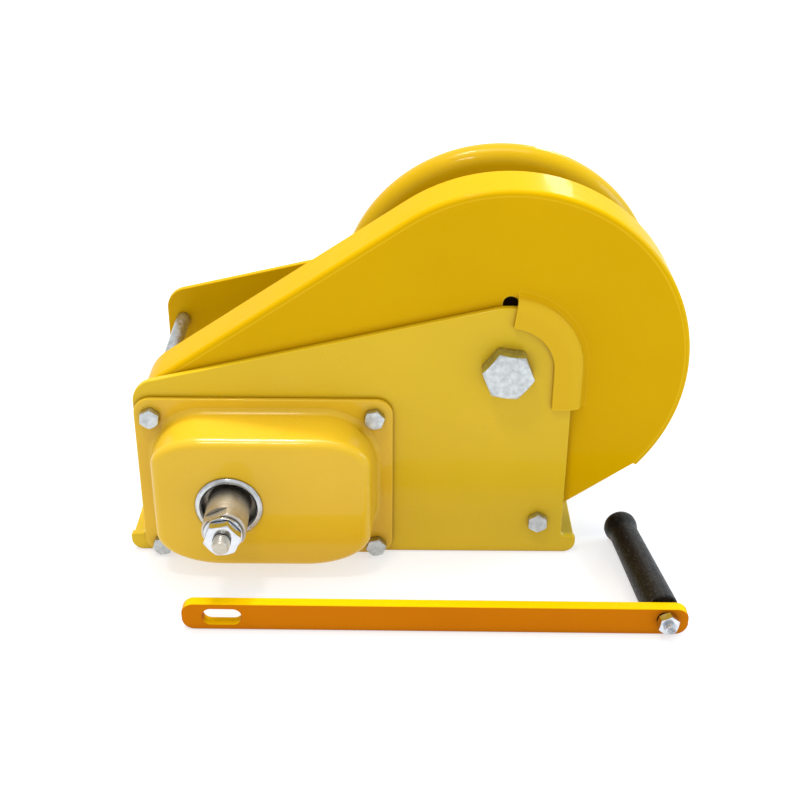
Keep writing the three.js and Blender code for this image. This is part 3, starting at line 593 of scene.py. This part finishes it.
def gear_hood():
    low, high = box("gear_hood")
    cheek_low, cheek_high = box("near_cheek")
    near, sheet, bend = cheek_high.y + 0.3, 2, 3
    left = cheek_low.x + FOOT_OVERHANG
    rim_end = 54.5
    path = hood_path(low, high, low.z, rim_end)
    quarter = [math.pi / 2 * i / 5 for i in range(6)]
    profile = [(bend * (1 - math.sin(a)), near + bend * (1 - math.cos(a))) for a in quarter]
    profile += [(0, high.y - 0.5), (0.5, high.y), (sheet - 0.5, high.y), (sheet, high.y - 0.5)]
    inner = bend - sheet
    profile += [(sheet + inner * (1 - math.sin(a)), near + bend - inner * math.cos(a))
                for a in reversed(quarter)]
    rim = sweep(path, profile)

    face = inset(path, bend, False)
    cut_left = (left + 232, low.z)
    outline = face + [cut_left, (left + 232, 28.7), (left + 268.6, rim_end)]
    holes = shaft_holes() + screw_holes(("cover_bolt_upper_right", "cover_bolt_upper_left", "hood_bolt"))
    holes.append(circle((left + 199.4, 152), 4.2))
    panel = plate(outline, near, near + sheet, holes, edge=0)

    # A lip pressed forward over the cheek's rounded corner
    outer, lip_width, front, slope_width = 40.3, 15.8, low.y, 8.5
    bottom = 93
    lip_path = [(DRUM.x + outer, bottom + (DRUM.z - bottom) * i / 6) for i in range(6)]
    lip_path += arc((DRUM.x, DRUM.z), outer, 0, 84)
    fillet = 2.6
    rise, back = near - fillet - front, cheek_low.y - 0.35
    lip = [(-fillet + fillet * math.sin(a), near + 0.02 - fillet * (1 - math.cos(a))) for a in quarter]
    lip += [(slope_width * (1 - math.cos(a)), front + rise * (1 - math.sin(a))) for a in quarter]
    lip += [(lip_width - 0.5, front), (lip_width, front + 0.5), (lip_width, back), (4, back)]
    lip += [(sheet, cheek_low.y + 1.5), (sheet, near + 0.5), (-fillet, near + 0.5)]
    piece("gear_hood", merged(rim, panel, sweep(lip_path, lip)), HOOD_PAINT, "frame")


def brake_cover():
    """The flange and the dome, whose outline changes from its foot to its face."""
    low, high = box("brake_cover")
    flange = high.y - 2.7
    left, bottom = low.x, low.z
    holes = screw_holes(f"cover_bolt_{corner}" for corner in CORNERS)
    # Left, right, bottom, top, and the half axes of the upper and lower corners
    foot = (left + 8.5, left + 129.5, bottom + 6.3, bottom + 89.6, (29, 29), (29, 29))
    face = (left + 11.5, left + 127.1, bottom + 8.7, bottom + 87.2, (27, 16), (36, 20))
    fillet, bend, sheet, count = 3.2, 5, 2.2, 25

    def loop(shape, by):
        """An outline moved in by `by`, with the same number of points each time."""
        x0, x1, z0, z1, upper, lower = shape
        points = []
        for x, z, (half_x, half_z), start in ((x1, z0, lower, -90), (x1, z1, upper, 0),
                                              (x0, z1, upper, 90), (x0, z0, lower, 180)):
            centre = (x - math.copysign(half_x, x - (x0 + x1) / 2),
                      z - math.copysign(half_z, z - (z0 + z1) / 2))
            for i in range(count):
                c, s = polar((0, 0), 1, start + 90 * i / (count - 1))
                points.append((centre[0] + (half_x - by) * c, centre[1] + (half_z - by) * s))
        return points

    outline = rectangle(low.x, high.x, low.z, high.z, 9)
    sheet_flange = plate(outline, flange, high.y, [loop(foot, -1.2), *holes], edge=0.6)
    quarter = [math.pi / 2 * i / 6 for i in range(7)]
    shoulder = low.y + bend
    levels = [(foot, -fillet + fillet * math.sin(a), flange - 0.01 - fillet * (1 - math.cos(a)))
              for a in quarter]
    levels += [(face, bend * (1 - math.cos(a)), shoulder - bend * math.sin(a)) for a in quarter]
    wall = grid([[(x, y, z) for x, z in loop(shape, by)] for shape, by, y in levels], True)
    hole = circle((CRANK.x, CRANK.z), 15.2, 64)[::-1]
    front = filled([loop(face, bend), hole], low.y, False)
    back = filled([loop(face, bend), hole], low.y + sheet, True)
    inside = grid([[(x, y, z) for x, z in loop(shape, by)] for shape, by, y in (
        (face, bend, low.y + sheet), (face, sheet, low.y + bend), (foot, sheet, high.y))], True)
    lip = grid([[(x, y, z) for x, z in hole] for y in (low.y, low.y + sheet)], True)
    cover = merged(sheet_flange, wall, front, back, inside, lip)
    piece("brake_cover", cover, COVER_PAINT, "frame")


def turned_piece(name, profile, centre, material, body, edge=0.4, sides=96):
    piece(name, turned(softened(profile, edge), (centre.x, centre.z), sides), material, body)


def cap_screw(name, body="frame", flats=10, head=4.2, radius=3, pitch=1, turn=12, from_far=False):
    """A hexagon-headed bolt on the CAD bolt's axis, with its thread."""
    low, high = box(name)
    centre = (middle(name).x, middle(name).z)
    near, end = (low.y, high.y)
    if from_far:
        block = hex_block(flats, -high.y, -high.y + head, (-centre[0], centre[1]), turn)
        block = [(-x, -y, z) for x, y, z in block[0]], block[1]
        shank = threaded(radius, pitch, near, high.y - head + 0.5, centre)
    else:
        block = hex_block(flats, near, near + head, centre, turn)
        shank = threaded(radius, pitch, near + head - 0.5, end, centre)
    piece(name, merged(block, shank), ZINC, body)


def fasteners():
    for corner, turn in (("lower_left", 12), ("lower_right", 12), ("upper_right", 12), ("upper_left", 25)):
        cap_screw(f"cover_bolt_{corner}", turn=turn)
    cap_screw("hood_bolt", turn=30)
    cap_screw("tie_rod_bolt", turn=0, from_far=True)
    cap_screw("rope_clamp_bolt", body="drum", turn=0, from_far=True)
    cap_screw("axle_bolt", flats=24, head=10, radius=8, pitch=2, turn=-8)
    low, high = box("axle_nut")
    centre = (DRUM.x, DRUM.z)
    nut = hex_block(24, low.y, high.y, centre, 15, both_ends=True)
    piece("axle_nut", nut, ZINC, "frame")
    low, high = box("axle_washer")
    piece("axle_washer", tube(8.3, 15, low.y, high.y, centre), ZINC, "frame")
    low, high = box("tie_rod")
    rod = tube(3.3, (high.x - low.x) / 2, low.y, high.y, (middle("tie_rod").x, middle("tie_rod").z), 0.5, 40)
    piece("tie_rod", rod, ZINC, "frame")


def drum():
    low, high = box("drum_flange_far")
    radius, sheet, bend, near, far = (high.z - low.z) / 2, 3, 9.5, low.y, high.y
    centre = (radius - bend, near + bend)
    profile = [(DRUM_BORE, near)] + arc(centre, bend, -90, 0) + [(radius, far - 0.7), (radius - 0.7, far)]
    profile += [(radius - sheet + 0.7, far), (radius - sheet, far - 0.7)]
    profile += arc(centre, bend - sheet, 0, -90) + [(DRUM_BORE, near + sheet)]
    dish = turned(profile, (DRUM.x, DRUM.z), 160)
    hole = plate(circle((DRUM.x, DRUM.z + 45), 6), near - 5, near + 10, edge=0)
    piece("drum_flange_far", boolean(dish, hole, "DIFFERENCE"), DRUM_PAINT, "drum")
    low, high = box("drum_flange_near")
    disc = tube(DRUM_BORE, (high.z - low.z) / 2, low.y, high.y, (DRUM.x, DRUM.z), 1, 160)
    piece("drum_flange_near", disc, DRUM_PAINT, "drum")
    low, high = box("drum_barrel")
    outer = (high.z - low.z) / 2
    barrel = tube(outer - 3, outer, low.y, high.y, (DRUM.x, DRUM.z), 0.3, 128)
    piece("drum_barrel", barrel, DRUM_PAINT, "drum")


def crank_end():
    """The ring in the cover, and the hub, washer, nut and threaded stud that stand out through it."""
    low, high = box("cover_ring")
    inner, outer = 14.3, 17.9
    ring = [(inner, low.y + 1.3), (inner + 1.1, low.y), (outer - 1.1, low.y), (outer, low.y + 1.1),
            (outer, high.y), (inner, high.y)]
    turned_piece("cover_ring", ring, CRANK, RING_CHROME, "frame", 0.6)

    low, high = box("drive_hub")
    radius, flange, root = 11.5, high.y - 4.5, 7.3
    body = [(root, low.y), (radius - 0.8, low.y), (radius, low.y + 0.8), (radius, flange),
            ((high.z - low.z) / 2, flange), ((high.z - low.z) / 2, high.y), (root, high.y)]
    hub = turned(softened(body, 0.2), (CRANK.x, CRANK.z), 128)
    turn = Matrix.Translation((CRANK.x, 0, CRANK.z)) @ Matrix.Rotation(math.radians(-115), 4, "Y")
    for left, right in ((9.5, 16), (-16, -9.5)):
        slab = moved(plate(rectangle(left, right, -20, 20), low.y - 1, low.y + 6, edge=0), turn)
        hub = boolean(hub, slab, "DIFFERENCE")
    piece("drive_hub", hub, HUB_STEEL, "brake_hub")

    low, high = box("hub_washer")
    centre = (CRANK.x, CRANK.z)
    washer = tube(4.9, (high.z - low.z) / 2, low.y, high.y, centre, 0.35)
    piece("hub_washer", washer, CHROME, "crankshaft")
    low, high = box("hub_nut")
    nut = hex_block(17, low.y, high.y, centre, 10, both_ends=True)
    bore = [(0, low.y - 1), (5.3, low.y - 1), (4.5, low.y + 0.5), (4.5, high.y + 1), (0, high.y + 1)]
    nut = boolean(nut, turned(bore, centre, 48), "DIFFERENCE")
    piece("hub_nut", nut, CHROME, "crankshaft")

    low, high = box("crank_shaft")
    hub_low, hub_high = box("drive_hub")
    shoulder = hub_low.y + 0.5
    step = hub_high.y + 0.3
    clip = box("crank_circlip")[0].y
    shaft = [(0, shoulder), (6.9, shoulder), (6.9, step), (SHAFT, step), (SHAFT, clip - 0.2),
             (CIRCLIP_GROOVE, clip - 0.2), (CIRCLIP_GROOVE, clip + 1.6), (SHAFT, clip + 1.6),
             (SHAFT, high.y - 1), (SHAFT - 1, high.y), (0, high.y)]
    rod = turned(shaft, centre, 64)
    stud = threaded(STUD, 1.5, low.y, shoulder + 0.5, centre, 40)
    piece("crank_shaft", merged(rod, stud), HUB_STEEL, "crankshaft")


def crank():
    """The flat bar with its slot, and the grip on its leaning bolt."""
    face = next(m for m in frame["record"]["mounts"] if m["name"] == "crank_slot_face")
    across = Vector(face["axis"])
    turn = Matrix.Rotation(math.atan2(-across.x, across.y), 4, "Z")
    centre = middle("crank_arm")
    place = Matrix.Translation((centre.x, centre.y, 0)) @ turn
    grip_at, grip_axis = joint("grip_spin")
    hole = turn.inverted() @ (grip_at - Vector((centre.x, centre.y, 0)))
    length, height, thickness, corner = 262, box("crank_arm")[1].z, 6.3, 6.5
    slot = rectangle(-120.5, -99.9, height / 2 - 4.7, height / 2 + 4.7, 4.65)
    outline = rectangle(-length / 2, length / 2, 0, height, corner)
    bar = plate(outline, -thickness / 2, thickness / 2, [slot, circle((hole.x, hole.z), 4)], edge=0.6)
    piece("crank_arm", moved(bar, place), CRANK_PAINT, "crank")

    lean = Matrix.Translation(grip_at) @ Matrix.Rotation(math.atan2(-grip_axis.x, grip_axis.y), 4, "Z")
    start = thickness / 2 + 1.8
    end = start + 81
    grip = [(3.4, start), (8.4, start), (9.1, start + 0.5), (9.3, start + 1.5), (8.9, start + 20),
            (8.4, start + 45), (8.0, end - 13), (8.1, end - 10), (8.7, end - 8), (9.3, end - 5),
            (9.2, end - 2.4), (8.5, end - 0.7), (7.4, end), (6.0, end), (5.6, end - 0.6),
            (5.6, end - 9), (3.4, end - 9)]
    piece("grip", moved(turned(grip, (0, 0), 96), lean), GRIP_PLASTIC, "grip")
    head = end - 8.7
    profile = [(0, -12.6), (2.4, -12.6), (3, -12), (3, head), (5, head), (5, head + 3.6),
               (4.4, head + 4.6), (2, head + 5), (0, head + 5)]
    bolt = turned(profile, (0, 0), 48)
    thread = threaded(3.05, 1, -12.6, -2, (0, 0))
    piece("grip_bolt", moved(merged(bolt, thread), lean), CHROME, "crank")
    nut = hex_block(10, -9.25, -4.25, (0, 0), 20, both_ends=True)
    piece("grip_nut", moved(nut, lean), CHROME, "crank")


cheek("near_cheek", [f"cover_bolt_{corner}" for corner in CORNERS] + ["hood_bolt"])
cheek("far_cheek", ["tie_rod"])
base_plate()
gear_hood()
brake_cover()
fasteners()
drum()
crank_end()
crank()

# CAD nodes whose shapes are right as they are
KEPT = {
    STEEL: ["axle_sleeve", "crank_circlip", "counter_circlip", "counter_shaft", "counter_gear",
            "counter_pinion", "crank_pinion", "pressure_flange", "ratchet_wheel", "drum_gear",
            "pawl", "pawl_pin", "pawl_clip", "pawl_spring"],
    BRONZE: ["crank_bush_near", "crank_bush_far", "counter_bush_near", "counter_bush_far", "drum_bush_near",
             "drum_bush_far"],
    LINING: ["friction_disc_inner", "friction_disc_outer"],
    ZINC: ["hood_nut", "rope_clamp"],
}
for material, names in KEPT.items():
    for name in names:
        node = frame["nodes"][name]
        bevel = node.modifiers.new("worn_edges", "BEVEL")
        bevel.width = WORN_EDGE
        bevel.segments = 2
        bevel.limit_method = "ANGLE"
        bevel.angle_limit = WORN_EDGE_ANGLE
        finish_mesh(node, material)


# ---------------------------------------------------------------- floor, light and camera

def studio():
    bpy.ops.mesh.primitive_plane_add(size=12)
    floor = bpy.context.object
    floor.name = "studio_floor"
    floor.location.z = -0.0006
    n = Nodes("studio_floor_card")
    tint = n.mix(n.ranged(n.noise(3, 3), 0.3, 0.7, 0.0, 1.0), (0.46, 0.46, 0.46), (0.44, 0.44, 0.44))
    n.set(Base_Color=tint, Roughness=0.9, Specular_IOR_Level=0.0)
    n.set(Emission_Color=(1, 1, 1), Emission_Strength=0.60)
    floor.data.materials.append(n.material)

    world = bpy.data.worlds.new("studio")
    world.use_nodes = True
    world.node_tree.nodes["Background"].inputs["Color"].default_value = (1, 1, 1, 1)
    world.node_tree.nodes["Background"].inputs["Strength"].default_value = 0.90
    bpy.context.scene.world = world

    def softbox(name, at, towards, width, height, power):
        light = bpy.data.lights.new(name, "AREA")
        light.shape = "RECTANGLE"
        light.size, light.size_y, light.energy = width, height, power
        o = bpy.data.objects.new(name, light)
        bpy.context.scene.collection.objects.link(o)
        o.location = at
        o.rotation_euler = (Vector(towards) - Vector(at)).to_track_quat("-Z", "Y").to_euler()
        return light

    # Two strips overhead draw the white lines along the bends; the broad one lifts the tops.
    softbox("overhead_strip_near", (-0.17, -0.42, 1.05), (-0.05, -0.08, 0.1), 0.15, 0.08, 2.4)
    softbox("overhead_strip_far", (-0.17, 0.32, 1.10), (-0.05, -0.08, 0.1), 0.15, 0.09, 4.5)
    softbox("overhead_broad", (0.05, 0.30, 1.4), (0.02, 0.05, 0.1), 0.9, 0.5, 10.5)
    softbox("back_right", (0.41, 1.09, 0.49), (0.12, -0.04, 0.20), 0.13, 0.10, 0.9)
    grip_light = softbox("right", (0.75, 0.05, 0.40), (0.15, -0.10, 0.01), 0.35, 0.35, 3.5)
    grip_light.color = (0.45, 0.70, 1.0)


def camera():
    """At the photograph's viewing angle: slightly left of the drum, looking down at the crank side."""
    pitch, yaw, roll = math.radians(28.60), math.radians(0.17), math.radians(0.49)
    ahead = Vector((math.sin(yaw) * math.cos(pitch), math.cos(yaw) * math.cos(pitch), -math.sin(pitch)))
    level = Vector((math.cos(yaw), -math.sin(yaw), 0))
    above = level.cross(ahead)
    right = level * math.cos(roll) + above * math.sin(roll)
    up = above * math.cos(roll) - level * math.sin(roll)
    data = bpy.data.cameras.new("camera")
    data.sensor_width = 36
    data.lens = 59.09
    data.clip_start = 0.01
    data.dof.use_dof = False
    o = bpy.data.objects.new("camera", data)
    bpy.context.scene.collection.objects.link(o)
    matrix = Matrix.Identity(4)
    for column, vector in enumerate((right, up, -ahead)):
        for row in range(3):
            matrix[row][column] = vector[row]
    matrix.translation = Vector((23.85, -675.99, 431.97)) * MM
    o.matrix_world = matrix
    bpy.context.scene.camera = o


studio()
camera()
bpy.context.scene.view_settings.view_transform = "Standard"
